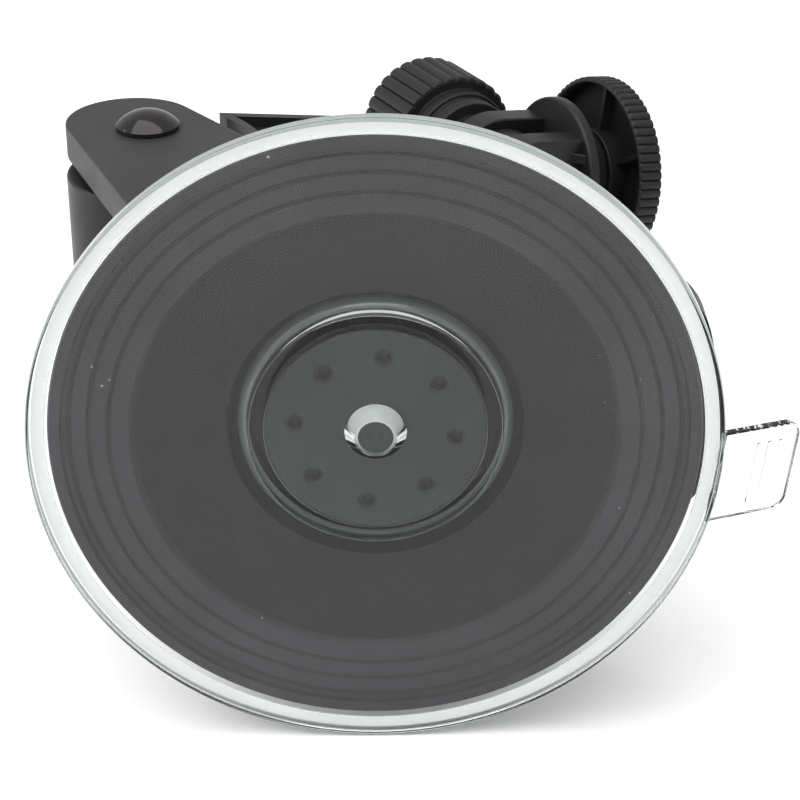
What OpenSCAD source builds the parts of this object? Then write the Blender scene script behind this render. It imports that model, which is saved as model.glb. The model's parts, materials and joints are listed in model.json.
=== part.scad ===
// Windscreen suction mount for a dash camera: a clear suction cup with a cam lever,
// a swinging arm, a tilting fork head and a camera stud with a lock wheel.
// +X is right, +Y leads away from the glass and +Z is up.
// The suction face lies in the plane y = 0 and its centre is the origin.

/* [Suction cup] */
// Outer diameter of the clear suction membrane
cup_d = 70; // [69:0.5:74]
// Thickness of the membrane between rim and hub
membrane_t = 1.5; // [1.2:0.1:1.5]
// How far the locked lever has pulled the hub back from the glass
dish_depth = 3; // [2.5:0.1:3.2]
// Outer diameter of the boss moulded round the puller disc
boss_d = 28.4; // [26:0.2:28.6]
// Width of the pull tab
tab_w = 10.2; // [6:0.2:12]
// Length of the pull tab
tab_len = 10.5; // [7:0.5:14]
// Angle of the pull tab below the +X axis
tab_angle = 6.6; // [0:0.2:30]
// Angle that the pull tab is bent back
tab_bend = 28.4; // [0:0.2:40]

/* [Puller] */
// Diameter of the puller disc inside the membrane
disc_d = 22.8; // [21:0.2:23]
// Number of moulding dimples in the puller disc
dimple_n = 8; // [4:1:12]
// Diameter of the puller stem
stem_d = 8.4; // [7.6:0.2:8.6]
// Travel of the puller between lever open and locked
stroke = 2.5; // [1.5:0.1:2.5]

/* [Housing] */
// Outer diameter of the housing
housing_d = 66; // [65:0.5:66]
// Number of stiffening ribs on the back of the housing
housing_ribs = 16; // [8:1:24]
// Height of the housing's top above the suction face
tower_top = 12.2; // [11.8:0.1:12.2]

/* [Lever] */
// Opening angle of the cam lever
lever_open = 85; // [70:1:88]
// Cam height from the pin to the wear washer when locked
cam_h = 6.95; // [6.8:0.05:7]
// Diameter of the lever pin
lever_pin_d = 4; // [3:0.1:4]
// Half width of the lever's paddle
paddle_half_w = 13.2; // [11:0.2:13.6]
// Reach of the paddle's end from the cup's axis
paddle_reach = 35.8; // [34:0.2:37]

/* [Bracket] */
// Thickness of each bracket ear
ear_t = 4.4; // [3.5:0.1:5]
// Clear gap between the two ears
ear_gap = 19.6; // [19.6:0.1:20]
// Radius of the ears' rounded ends
ear_r = 7.8; // [7.4:0.1:8]
// Sideways place of the arm pivot
pivot_x = -26.8; // [-28:0.2:-25]
// Distance of the arm pivot from the suction face
pivot_y = 53.8; // [52:0.2:58]
// Diameter of the arm pivot pin
pivot_pin_d = 4; // [3:0.1:4]

/* [Arm] */
// Distance from the arm pivot to the head hinge
arm_len = 50; // [48:1:60]
// Direction of the folded arm, measured from +X towards +Y
arm_angle = 27; // [27:0.2:40]
// Half thickness of the arm's body at the bracket end
arm_half_w = 5.6; // [4.6:0.1:5.6]
// How far the hinge lies below the arm pivot's middle
hinge_drop = 1.2; // [0:0.1:1.5]

/* [Head] */
// Tilt of the head below the arm's line
head_tilt = 7.9; // [0:0.1:20]
// Diameter of the hinge bolt
hinge_bolt_d = 5; // [4:0.1:5]
// Diameter of the head's flange
flange_d = 20.4; // [17:0.2:20.6]
// Outer diameter of the lock wheel
wheel_d = 25.4; // [24:0.2:26]
// Number of grip flutes round the lock wheel
wheel_flutes = 66; // [30:1:70]
// Outer diameter of the hinge knob
knob_d = 17.8; // [16.4:0.2:18]
// Number of grip flutes round the hinge knob
knob_flutes = 30; // [20:1:34]
// Thread diameter of the camera stud, a standard quarter inch
stud_d = 6.35; // [6.35]

/* [Hidden] */
$fn = 72;

// Suction membrane
cup_r = cup_d / 2;
rim_t = 1.9;
land_r = cup_r - 3.4;
rim_edge_r = 0.4;
boss_r = boss_d / 2;
hub_r = boss_r - 1;
boss_bead_r = 1.4;
boss_neck_r = boss_r - boss_bead_r;
hub_skin_t = 1.6;
boss_back = 8.4;
boss_mouth_r = 8.5;
dish_steps = 18;
tab_t = 1.2;
tab_corner_r = 1.6;
tab_root = cup_r - 1;

// Puller disc and stem
disc_r = disc_d / 2;
disc_front = dish_depth + hub_skin_t;
disc_t = 2.2;
disc_back = disc_front + disc_t;
nub_r = 3.1;
nub_top_r = 1.9;
nub_h = 1.1;
dimple_ring_r = 8.26;
dimple_r = 0.8;
dimple_depth = 0.8;
dimple_turn = -6;
stem_r = stem_d / 2;
stem_flat = 4;
fit_gap = 0.05;

// Housing
housing_r = housing_d / 2;
well_r = 15.2;
well_floor = 9;
tower_r = 17.6;
groove_radii = [27, 29, 30.9];
groove_w = 0.36;
groove_depth = 0.4;
annulus_y = 2.6;
recess_r = 24.9;
foot_x = [-21.5, 13];
foot_corner_r = 2.4;
spring_seat_r = 7.6;
spring_seat_y = 10.9;
screw_x = 4.6;
screw_z = 11.4;
screw_r = 1.25;
screw_head_r = 2.3;
screw_head_t = 1.4;
screw_len = 11;

// Bracket, wear washer and lever
flange_t = 2.4;
flange_top = tower_top + flange_t;
washer_t = 0.8;
washer_top = flange_top + washer_t;
washer_r = 9.6;
lever_gap = 0.05;
lever_y = washer_top + cam_h + lever_gap;
cam_slope = stroke / (lever_open * PI / 180);
cam_steps = 16;
cheek_in = 4.75;
cheek_out = 9.3;
lever_pin_r = lever_pin_d / 2;
handle_outer_r = 68;
handle_t = 3.4;
handle_centre = [-6.6, -41.9];
handle_root = 5.4;
paddle_start = 13.5;
paddle_flare = 3;
paddle_corner_r = 4;
ear_top = ear_gap / 2 + ear_t;
web_t = 3;
web_top = 27;

// Arm pivot
pivot_pin_r = pivot_pin_d / 2;
dome_r = 3.8;
dome_h = 2.2;
nut_pocket = 1.6;
pivot_nut_t = 3.2;
pivot_nut_r = 4.04;
pivot_washer_t = 0.75;
pivot_washer_r = 7.2;
barrel_r = 9.9;
barrel_half_h = ear_gap / 2 - pivot_washer_t - 0.05;

// Arm, in its own frame: s along the arm from the pivot, k across it
arm_tall_start = 11.5;
arm_clear_r = 12;
tongue_r = 5.7;
tongue_half_t = 2.75;
arm_neck_start = arm_len - 8.6;
arm_end_half_w = 4.2;
arm_upper = [
    [arm_tall_start, 12.4], [27, 9.6], [arm_len - 11.5, tongue_r - hinge_drop],
    [arm_len, tongue_r - hinge_drop]
];
arm_lower = [
    [arm_len, -tongue_r - hinge_drop], [arm_len - 11.5, -tongue_r - hinge_drop],
    [27, -9.6], [arm_tall_start, -12.4]
];
pocket_wall = 1.5;
pocket_depth = 1.3;

// Head, in its own frame: s from the hinge along the head, k along the hinge axis
hinge_bolt_r = hinge_bolt_d / 2;
fork_in = 2.85;
fork_out = 6.65;
fork_half_h = 6.9;
bolt_head_r = 4.62;
bolt_head_t = 3.5;
bolt_pocket = 2.3;
flange_r = flange_d / 2;
flange_s = 6;
flange_end = 7.6;
boss_end = 11.7;
stud_boss_r = 5.6;
collar_start = 7.9;
collar_end = 10.3;
stud_collar_r = 4.2;
stud_root = 6.6;
stud_root_r = 2.6;
stud_r = stud_d / 2;
stud_end = 21.4;
stud_chamfer = 0.6;
wheel_start = 12.15;
wheel_end = 15.5;
wheel_r = wheel_d / 2;
wheel_hub_r = 6;
wheel_hub_start = 11.85;
wheel_recess_r = wheel_r - 0.8;
wheel_recess_depth = 2.3;
wheel_ribs = 6;
wheel_rib_w = 0.6;
wheel_rib_low = 0.7;
wheel_nut_r = 4.7;
pad_r = 9;
pad_hole_r = 3.4;
pad_end = wheel_end + 1;
stud_start = pad_end + 0.25;

// Hinge knob, measured from the hinge plane along its own axis
washer_start = fork_out + 0.05;
washer_end = washer_start + 1;
washer_out_r = 5.5;
knob_steps = [[washer_end + 0.1, 10.5, 5], [10.5, 13, 6.65], [13, 15.05, 7.2]];
knob_start = 15.05;
knob_end = 25.2;
knob_r = knob_d / 2;
knob_bore_end = 21.4;
bolt_end = 21;
knob_nut_start = 15.8;
knob_nut_end = 19.8;
knob_nut_r = 4.62;

// Frames ------------------------------------------------------------------

// Local z becomes +Y, the cup's axis
module along_cup() {
    rotate([-90, 0, 0]) children();
}

// Drawing in X and Y, raised symmetrically about z = 0
module slab(height) {
    translate([0, 0, -height / 2]) linear_extrude(height) children();
}

// The arm's frame: x along the arm from its pivot, z up
module in_arm() {
    translate([pivot_x, pivot_y, 0]) rotate([0, 0, arm_angle]) children();
}

// The head's frame: x along the head from the hinge, -y along the hinge axis
module in_head() {
    in_arm() translate([arm_len, 0, -hinge_drop]) rotate([0, head_tilt, 0]) children();
}

// Local z becomes the head's own line
module along_head() {
    in_head() rotate([0, 90, 0]) children();
}

// Local z becomes the knob's direction, away from the bolt's head
module along_knob() {
    in_head() rotate([-90, 0, 0]) children();
}

module disc_between(r, low, high) {
    translate([0, 0, low]) cylinder(r = r, h = high - low);
}

module ring_between(r_in, r_out, low, high) {
    difference() {
        disc_between(r_out, low, high);
        disc_between(r_in, low - 1, high + 1);
    }
}

module hex_between(r, low, high) {
    translate([0, 0, low]) cylinder(r = r, h = high - low, $fn = 6);
}

module fluted_disc(r, flutes, flute_r) {
    difference() {
        circle(r = r);
        for (i = [0:flutes - 1])
            rotate(i * 360 / flutes) translate([r, 0]) circle(r = flute_r, $fn = 16);
    }
}

// Suction membrane --------------------------------------------------------

// Depth of the membrane's front face at radius r, a smooth S from rim to hub
function dish(r) =
    r >= land_r ? 0 :
    r <= hub_r ? dish_depth :
    dish_depth * (1 + cos(180 * (r - hub_r) / (land_r - hub_r))) / 2;

function dish_radius(i) = hub_r + (land_r - hub_r) * i / dish_steps;

function back_radius(i) = boss_neck_r + (land_r - boss_neck_r) * i / dish_steps;

membrane_front = [for (i = [0:dish_steps]) [dish_radius(i), dish(dish_radius(i))]];
membrane_back = [
    for (i = [dish_steps:-1:0]) [back_radius(i), dish(back_radius(i)) + membrane_t]
];
rim_outline = [
    [cup_r - rim_edge_r, 0], [cup_r, rim_edge_r],
    [cup_r, rim_t - rim_edge_r], [cup_r - rim_edge_r, rim_t],
    [land_r + 0.1, rim_t]
];
boss_bead = arc([boss_neck_r, boss_back - boss_bead_r], boss_bead_r, -75, 90, 11);
boss_inside = [
    [boss_mouth_r, boss_back], [boss_mouth_r, disc_back],
    [disc_r + fit_gap, disc_back], [disc_r + fit_gap, disc_front],
    [nub_r + fit_gap, disc_front], [nub_top_r + fit_gap, disc_front - nub_h - fit_gap],
    [0, disc_front - nub_h - fit_gap]
];

module tab_outline() {
    translate([0, -tab_w / 2]) square([tab_len - tab_corner_r, tab_w]);
    translate([0, tab_corner_r - tab_w / 2]) square([tab_len, tab_w - 2 * tab_corner_r]);
    for (side = [-1, 1])
        translate([tab_len - tab_corner_r, side * (tab_w / 2 - tab_corner_r)])
            circle(r = tab_corner_r);
}

module pull_tab() {
    rotate([0, tab_angle, 0])
        translate([tab_root, rim_t / 2, 0])
            rotate([0, 0, tab_bend])
                translate([0, tab_t / 2, 0])
                    rotate([90, 0, 0]) linear_extrude(tab_t) tab_outline();
}

module suction_membrane() {
    color([0.85, 0.88, 0.87, 0.4]) {
        along_cup()
            rotate_extrude()
                polygon(concat(
                    [[0, dish_depth]], membrane_front, rim_outline, membrane_back,
                    boss_bead, boss_inside
                ));
        pull_tab();
    }
}

// Puller ------------------------------------------------------------------

module stem_profile() {
    translate([-stem_r, disc_back - 1]) square([2 * stem_r, lever_y - disc_back + 1]);
    translate([0, lever_y]) circle(r = stem_r);
}

module puller_disc() {
    color([0.33, 0.35, 0.36])
        difference() {
            union() {
                along_cup() {
                    disc_between(disc_r, disc_front, disc_back);
                    translate([0, 0, disc_front - nub_h])
                        cylinder(r1 = nub_top_r, r2 = nub_r, h = nub_h + 0.01);
                }
                intersection() {
                    along_cup() disc_between(stem_r, disc_front, lever_y + stem_r);
                    slab(2 * stem_flat) stem_profile();
                }
            }
            along_cup()
                for (i = [0:dimple_n - 1])
                    rotate(-dimple_turn - i * 360 / dimple_n)
                        translate([dimple_ring_r, 0, 0])
                            disc_between(dimple_r, disc_front - 1, disc_front + dimple_depth, $fn = 24);
            translate([0, lever_y, 0])
                disc_between(lever_pin_r + fit_gap, -stem_r - 1, stem_r + 1);
        }
}

// A helical wire: rings of points swept round the stem, with flat end turns
spring_r = 6.3;
spring_wire_r = 0.4;
spring_turns = 3.5;
spring_low = disc_back + spring_wire_r + 0.05;
spring_high = spring_seat_y - spring_wire_r - 0.05;
spring_ring_n = 8;
spring_steps = 84;

function spring_centre(i) =
    let (turn = 360 * spring_turns * i / spring_steps)
    [spring_r * cos(turn), spring_r * sin(turn),
     spring_low + (spring_high - spring_low) * i / spring_steps];

function spring_point(i, j) =
    let (turn = 360 * spring_turns * i / spring_steps, ring = 360 * j / spring_ring_n)
    spring_centre(i) + spring_wire_r *
        [cos(turn) * cos(ring), sin(turn) * cos(ring), sin(ring)];

module return_spring() {
    points = [for (i = [0:spring_steps]) for (j = [0:spring_ring_n - 1]) spring_point(i, j)];
    sides = [
        for (i = [0:spring_steps - 1]) for (j = [0:spring_ring_n - 1])
            let (a = i * spring_ring_n, next = (j + 1) % spring_ring_n)
            [a + j, a + spring_ring_n + j, a + spring_ring_n + next, a + next]
    ];
    first_cap = [for (j = [0:spring_ring_n - 1]) j];
    last_cap = [for (j = [spring_ring_n - 1:-1:0]) spring_steps * spring_ring_n + j];
    color([0.72, 0.73, 0.75])
        along_cup() polyhedron(points, concat(sides, [first_cap, last_cap]));
}

// Housing -----------------------------------------------------------------

// The shell's wall, from the rim inward to the well
module housing_shell() {
    rotate_extrude()
        difference() {
            polygon([
                [housing_r - 1.3, 2], [housing_r - 0.3, 2], [housing_r, 2.3],
                [housing_r, 4.8], [housing_r - 1.4, 4.8], [housing_r - 1.8, 4.5],
                [recess_r, 5.3], [tower_r - 1, 7.8], [well_r, 7.8], [well_r, 5.6],
                [recess_r - 0.3, 3.3], [recess_r, annulus_y],
                [housing_r - 1.4, annulus_y]
            ]);
            for (r = groove_radii)
                translate([r - groove_w / 2, annulus_y - 1])
                    square([groove_w, 1 + groove_depth]);
        }
}

// Outline of the raised foot that the bracket stands on, in X and local y
module foot_outline() {
    circle(r = tower_r);
    for (x = [foot_x[0] + foot_corner_r, foot_x[1] - foot_corner_r])
        for (y = [-1, 1] * (ear_top - foot_corner_r))
            translate([x, y]) circle(r = foot_corner_r);
    translate([foot_x[0], foot_corner_r - ear_top])
        square([foot_x[1] - foot_x[0], 2 * (ear_top - foot_corner_r)]);
    translate([foot_x[0] + foot_corner_r, -ear_top])
        square([foot_x[1] - foot_x[0] - 2 * foot_corner_r, 2 * ear_top]);
}

module housing_rib() {
    rib_t = 1.2;
    translate([0, rib_t / 2, 0])
        rotate([90, 0, 0])
            linear_extrude(rib_t)
                polygon([
                    [tower_r - 1, 6.5], [recess_r, 4.8], [housing_r - 1.6, 4.2],
                    [housing_r - 1.6, 4.8], [tower_r - 1, 10.4]
                ]);
}

module screw_places() {
    for (x = [-1, 1] * screw_x)
        for (z = [-1, 1] * screw_z)
            translate([x, 0, z]) children();
}

module stem_bore(low, high) {
    intersection() {
        along_cup() disc_between(stem_r + fit_gap, low, high);
        translate([-stem_r - 1, low - 1, -stem_flat - fit_gap])
            cube([2 * stem_r + 2, high - low + 2, 2 * (stem_flat + fit_gap)]);
    }
}

module base_housing() {
    color([0.2, 0.2, 0.21])
        difference() {
            union() {
                along_cup() {
                    housing_shell();
                    translate([0, 0, 6.2]) linear_extrude(tower_top - 6.2) foot_outline();
                    for (i = [0:housing_ribs - 1])
                        rotate((i + 0.5) * 360 / housing_ribs) housing_rib();
                }
            }
            along_cup() disc_between(well_r, 0, well_floor);
            along_cup() disc_between(spring_seat_r, 0, spring_seat_y);
            stem_bore(well_floor, tower_top + 1);
            screw_places() along_cup() {
                disc_between(screw_head_r, 0, well_floor + screw_head_t);
                disc_between(screw_r, well_floor, tower_top + 1);
            }
        }
}

module housing_screws() {
    driver_w = 0.6;
    driver_depth = 0.8;
    color([0.6, 0.6, 0.62])
        screw_places()
            difference() {
                along_cup() {
                    disc_between(screw_head_r - 0.1, well_floor, well_floor + screw_head_t);
                    disc_between(screw_r, well_floor, well_floor + screw_head_t + screw_len);
                }
                for (turn = [0, 90])
                    rotate([0, turn, 0])
                        translate([-1.3, well_floor - 1, -driver_w / 2])
                            cube([2.6, 1 + driver_depth, driver_w]);
            }
}

// Bracket -----------------------------------------------------------------

// Points where straight edges leave the ear's round end, by their normals' angles
left_edge_a = 201.7;
right_edge_a = 36.4;
ear_centre = [pivot_x - 2.3, pivot_y + 3];

function ear_edge(a) = ear_centre + ear_r * [cos(a), sin(a)];

// Where an ear's straight edge meets the height y
function edge_foot(a, y) =
    let (p = ear_edge(a), run = (p[1] - y) / cos(a))
    [p[0] + run * sin(a), y];

module ear_outline() {
    polygon([
        edge_foot(left_edge_a, tower_top), ear_edge(left_edge_a),
        ear_edge(right_edge_a), [foot_x[1], tower_top]
    ]);
    translate(ear_centre) circle(r = ear_r);
}

module bracket_web() {
    low = edge_foot(left_edge_a, tower_top);
    high = edge_foot(left_edge_a, web_top);
    slab(ear_gap + 1)
        polygon([low, high, high + [web_t, 0], low + [web_t, 0]]);
}

module clevis_bracket() {
    color([0.3, 0.3, 0.31])
        difference() {
            union() {
                translate([0, tower_top, 0])
                    along_cup() linear_extrude(flange_t) foot_outline();
                for (z = [-ear_top, ear_gap / 2])
                    translate([0, 0, z]) linear_extrude(ear_t) ear_outline();
                bracket_web();
            }
            stem_bore(tower_top - 1, flange_top + 1);
            screw_places()
                along_cup()
                    disc_between(screw_r, tower_top - 1, well_floor + screw_head_t + screw_len);
            translate([pivot_x, pivot_y, 0]) {
                disc_between(pivot_pin_r, -ear_top - 1, ear_top + 1);
                hex_between(pivot_nut_r + 0.06, -ear_top - 1, -ear_top + nut_pocket);
            }
        }
}

module cam_washer() {
    color([0.7, 0.7, 0.72])
        along_cup() ring_between(stem_r + 0.5, washer_r, flange_top, washer_top);
}

// Lever -------------------------------------------------------------------

// The cam's outline about the pin: its height above the washer falls evenly with
// the opening angle, so the puller travels in step with the lever
function cam_point(open) =
    let (height = cam_h - cam_slope * open * PI / 180, a = -90 - open)
    height * [cos(a), sin(a)] + cam_slope * [-sin(a), cos(a)];

module cam_outline() {
    polygon(concat(
        [for (i = [0:cam_steps]) cam_point(i * (lever_open + 8) / cam_steps)],
        [[0, stem_r], [paddle_start, 0.5], [paddle_start, -3.2], [7, -cam_h]]
    ));
    circle(r = stem_r);
}

// The handle's curved band, seen along the pin
module handle_band() {
    translate(handle_centre)
        difference() {
            circle(r = handle_outer_r, $fn = 180);
            circle(r = handle_outer_r - handle_t, $fn = 180);
        }
}

function arc(centre, r, from, to, steps) =
    [for (i = [0:steps]) let (a = from + (to - from) * i / steps) centre + r * [cos(a), sin(a)]];

// The paddle's outline, seen along the cup's axis: its end follows the cup's rim
module paddle_outline() {
    corner_z = paddle_half_w - paddle_corner_r;
    corner_ring = paddle_reach - paddle_corner_r;
    corner_x = sqrt(corner_ring * corner_ring - corner_z * corner_z);
    end_a = atan2(corner_z, corner_x);
    polygon(concat(
        [[handle_root, cheek_out], [handle_root, -cheek_out], [paddle_start, -cheek_out],
         [paddle_start + paddle_flare, -paddle_half_w]],
        arc([corner_x, -corner_z], paddle_corner_r, -90, -end_a, 6),
        arc([0, 0], paddle_reach, -end_a, end_a, 12),
        arc([corner_x, corner_z], paddle_corner_r, end_a, 90, 6),
        [[paddle_start + paddle_flare, paddle_half_w], [paddle_start, cheek_out]]
    ));
}

module lock_lever() {
    color([0.16, 0.16, 0.17])
        difference() {
            union() {
                intersection() {
                    slab(2 * paddle_half_w) handle_band();
                    along_cup() linear_extrude(40) paddle_outline();
                }
                for (z = [-cheek_out, cheek_in])
                    translate([0, lever_y, z])
                        linear_extrude(cheek_out - cheek_in) cam_outline();
            }
            translate([0, lever_y, 0])
                disc_between(lever_pin_r, -cheek_out - 1, cheek_out + 1);
        }
}

module lever_pin() {
    color([0.7, 0.7, 0.72])
        translate([0, lever_y, 0]) disc_between(lever_pin_r, -cheek_out, cheek_out);
}

// Arm pivot ---------------------------------------------------------------

module pivot_pin() {
    sphere_r = (dome_r * dome_r + dome_h * dome_h) / (2 * dome_h);
    color([0.1, 0.1, 0.1])
        translate([pivot_x, pivot_y, 0]) {
            intersection() {
                translate([0, 0, ear_top + dome_h - sphere_r]) sphere(r = sphere_r);
                disc_between(dome_r, ear_top, ear_top + dome_h + 1);
            }
            disc_between(pivot_pin_r, -ear_top - pivot_nut_t + nut_pocket - 0.6, ear_top + 0.5);
        }
}

module pivot_nut() {
    top = -ear_top + nut_pocket;
    color([0.6, 0.6, 0.62])
        translate([pivot_x, pivot_y, 0])
            difference() {
                hex_between(pivot_nut_r, top - pivot_nut_t, top);
                disc_between(pivot_pin_r, top - pivot_nut_t - 1, top + 1);
            }
}

module pivot_washers() {
    color([0.85, 0.85, 0.83])
        translate([pivot_x, pivot_y, 0])
            for (side = [0, 1])
                mirror([0, 0, side])
                    ring_between(pivot_pin_r + 0.1, pivot_washer_r,
                        ear_gap / 2 - pivot_washer_t, ear_gap / 2);
}

// Arm ---------------------------------------------------------------------

// Side view of the arm: tall next to the bracket, narrow at the hinge
module arm_side(inset) {
    upper = [for (p = arm_upper) [p[0], p[1] - inset]];
    lower = [for (p = arm_lower) [p[0], p[1] + inset]];
    rotate([90, 0, 0]) slab(40) polygon(concat(upper, lower));
}

// Plan view of the arm's body between barrel and neck
module arm_plan(inset) {
    polygon([
        [arm_tall_start - 2 + inset, arm_half_w - inset],
        [arm_neck_start - 3 - inset / 2, arm_end_half_w - inset],
        [arm_neck_start - inset, tongue_half_t],
        [arm_neck_start - inset, -tongue_half_t],
        [arm_neck_start - 3 - inset / 2, inset - arm_end_half_w],
        [arm_tall_start - 2 + inset, inset - arm_half_w]
    ]);
}

module arm_body() {
    difference() {
        intersection() {
            arm_side(0);
            slab(40) arm_plan(0);
        }
        disc_between(arm_clear_r, -20, 20);
        difference() {
            intersection() {
                slab(40) arm_plan(pocket_wall);
                translate([pocket_wall + 0.6, 0, 0]) slab(60) square([60, 30], center = true);
            }
            arm_side(pocket_depth);
            disc_between(arm_clear_r + pocket_wall, -20, 20);
        }
    }
}

module arm_neck() {
    translate([0, 0, -hinge_drop]) rotate([90, 0, 0])
        slab(2 * tongue_half_t) {
            translate([arm_neck_start - 4, -tongue_r])
                square([arm_len - arm_neck_start + 4, 2 * tongue_r]);
            translate([arm_len, 0]) circle(r = tongue_r);
        }
}

module swing_arm() {
    color([0.13, 0.13, 0.13])
        in_arm()
            difference() {
                union() {
                    disc_between(barrel_r, -barrel_half_h, barrel_half_h);
                    translate([0, -arm_half_w, -barrel_half_h])
                        cube([arm_tall_start + 1, 2 * arm_half_w, 2 * barrel_half_h]);
                    arm_body();
                    arm_neck();
                }
                disc_between(pivot_pin_r + fit_gap, -20, 20);
                translate([arm_len, 0, -hinge_drop])
                    rotate([90, 0, 0])
                        disc_between(hinge_bolt_r + fit_gap, -10, 10);
            }
}

// Head --------------------------------------------------------------------

module fork_plate() {
    difference() {
        union() {
            circle(r = fork_half_h);
            translate([0, -fork_half_h]) square([flange_s + 0.2, 2 * fork_half_h]);
        }
        circle(r = hinge_bolt_r);
    }
}

// Small gusset between a fork plate's face and the flange
module fork_gusset(z) {
    gusset = 1.6;
    translate([0, 0, z - 0.6])
        linear_extrude(1.2)
            polygon([
                [flange_s + 0.2, fork_out - 0.2], [flange_s - gusset, fork_out - 0.2],
                [flange_s + 0.2, fork_out + gusset]
            ]);
}

module stud_shape() {
    hex_between(stud_collar_r, collar_start, collar_end);
    disc_between(stud_root_r, stud_root, stud_start + 0.1);
}

module fork_head() {
    color([0.14, 0.14, 0.14])
        difference() {
            union() {
                for (y = [-fork_in, fork_out])
                    in_head()
                        translate([0, y, 0])
                            rotate([90, 0, 0]) linear_extrude(fork_out - fork_in) fork_plate();
                in_head()
                    for (side = [0, 1])
                        mirror([0, side, 0])
                            for (z = [-1, 1] * 4.6) fork_gusset(z);
                along_head() disc_between(flange_r, flange_s, flange_end);
                along_head() disc_between(stud_boss_r, flange_s, boss_end);
            }
            along_head() stud_shape();
            along_knob() hex_between(bolt_head_r, -fork_out - 1, bolt_pocket - fork_out);
        }
}

module hinge_bolt() {
    color([0.66, 0.67, 0.7])
        along_knob() {
            hex_between(bolt_head_r, bolt_pocket - fork_out - bolt_head_t, bolt_pocket - fork_out);
            disc_between(hinge_bolt_r, -fork_out, bolt_end);
        }
}

module hinge_washer() {
    color([0.5, 0.5, 0.52])
        along_knob() ring_between(hinge_bolt_r + fit_gap, washer_out_r, washer_start, washer_end);
}

module hinge_knob() {
    color([0.13, 0.13, 0.13])
        along_knob()
            difference() {
                union() {
                    for (step = knob_steps) disc_between(step[2], step[0], step[1] + 0.01);
                    translate([0, 0, knob_start])
                        linear_extrude(knob_end - knob_start)
                            fluted_disc(knob_r, knob_flutes, 0.6);
                }
                disc_between(hinge_bolt_r + fit_gap, 0, knob_bore_end);
                hex_between(knob_nut_r, knob_nut_start, knob_nut_end);
            }
}

module knob_nut() {
    color([0.78, 0.62, 0.3])
        along_knob()
            difference() {
                hex_between(knob_nut_r, knob_nut_start, knob_nut_end);
                disc_between(hinge_bolt_r + fit_gap, 0, knob_end);
            }
}

// Camera stud and lock wheel ----------------------------------------------

module camera_stud() {
    color([0.66, 0.67, 0.7])
        along_head() {
            stud_shape();
            disc_between(stud_r, stud_start, stud_end - stud_chamfer);
            translate([0, 0, stud_end - stud_chamfer])
                cylinder(r1 = stud_r, r2 = stud_r - stud_chamfer, h = stud_chamfer);
        }
}

module wheel_rib_set() {
    for (i = [0:wheel_ribs - 1])
        rotate(i * 360 / wheel_ribs)
            translate([wheel_hub_r - 0.5, -wheel_rib_w / 2, wheel_start + wheel_rib_low])
                cube([wheel_recess_r - wheel_hub_r + 0.7, wheel_rib_w,
                      wheel_recess_depth + 0.3 - wheel_rib_low]);
}

module lock_wheel() {
    color([0.13, 0.13, 0.13])
        along_head()
            difference() {
                union() {
                    difference() {
                        translate([0, 0, wheel_start])
                            linear_extrude(wheel_end - wheel_start)
                                fluted_disc(wheel_r, wheel_flutes, 0.34);
                        ring_between(wheel_hub_r, wheel_recess_r,
                            wheel_start - 1, wheel_start + wheel_recess_depth);
                    }
                    wheel_rib_set();
                    disc_between(wheel_hub_r, wheel_hub_start, wheel_end);
                }
                hex_between(wheel_nut_r, wheel_hub_start - 1, wheel_end + 1);
            }
}

module wheel_nut() {
    color([0.78, 0.62, 0.3])
        along_head()
            difference() {
                hex_between(wheel_nut_r, wheel_hub_start, wheel_end);
                disc_between(stud_root_r + fit_gap, wheel_hub_start - 1, wheel_end + 1);
            }
}

module wheel_pad() {
    color([0.08, 0.08, 0.08])
        along_head() ring_between(pad_hole_r, pad_r, wheel_end, pad_end);
}

suction_membrane();
puller_disc();
return_spring();
base_housing();
housing_screws();
clevis_bracket();
cam_washer();
lock_lever();
lever_pin();
pivot_pin();
pivot_nut();
pivot_washers();
swing_arm();
fork_head();
hinge_bolt();
hinge_washer();
hinge_knob();
knob_nut();
camera_stud();
lock_wheel();
wheel_nut();
wheel_pad();
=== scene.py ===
import json
import math

import bmesh
import bpy
from mathutils import Matrix, Vector


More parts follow.
